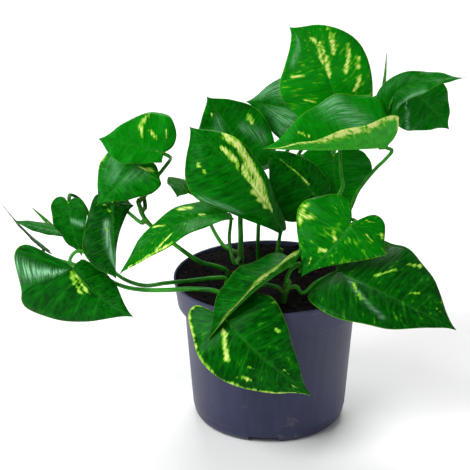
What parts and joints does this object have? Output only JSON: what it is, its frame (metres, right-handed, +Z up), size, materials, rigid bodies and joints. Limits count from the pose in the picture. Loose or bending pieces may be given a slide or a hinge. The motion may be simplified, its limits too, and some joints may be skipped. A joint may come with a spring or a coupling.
{
  "type": "potted plant",
  "caption": "Young trailing vine with heart-shaped variegated leaves on thin stalks, rooted in soil in a round tapered nursery pot with a deep lip.",
  "frame": {"origin": "middle of the flat underside of the pot, on the pot's axis and on the surface that it stands on", "axes": "+Z up along the pot's axis; -Y towards the front, where the leaf that hangs over the lip is; +X to the right seen from the front"},
  "size_m": [0.2844, 0.1751, 0.253],
  "materials": {
    "pot": "satin",
    "soil": "matte",
    "vine": "satin",
    "leaf": "gloss",
    "young_leaf": "satin"
  },
  "bodies": {
    "root": {"pot": "pot", "soil": "soil", "vine_left_low": "vine", "vine_left_middle": "vine", "vine_left_high": "vine", "vine_middle": "vine", "vine_back": "vine", "vine_centre": "vine", "vine_right": "vine", "vine_right_back": "vine", "vine_front": "vine", "leaf_top": "leaf", "leaf_top_behind": "leaf", "leaf_upper_left": "leaf", "leaf_folded_right": "leaf", "leaf_arching_right": "leaf", "leaf_hanging_right": "leaf", "leaf_large": "leaf", "leaf_middle": "leaf", "leaf_shaded": "leaf", "leaf_front_right": "leaf", "leaf_low_right": "leaf", "leaf_front": "leaf", "leaf_folded_front": "leaf", "leaf_arching_left": "leaf", "leaf_left_high": "leaf", "leaf_left_second": "leaf", "leaf_left_hanging": "leaf", "leaf_left_small": "leaf", "leaf_left_edge": "leaf", "leaf_left_narrow": "leaf", "leaf_far_left": "leaf", "leaf_back_left": "leaf", "leaf_back_middle": "leaf", "leaf_back_right": "leaf", "leaf_back_high": "leaf", "sprout_right": "young_leaf", "sprout_left": "young_leaf"}
  },
  "joints": []
}
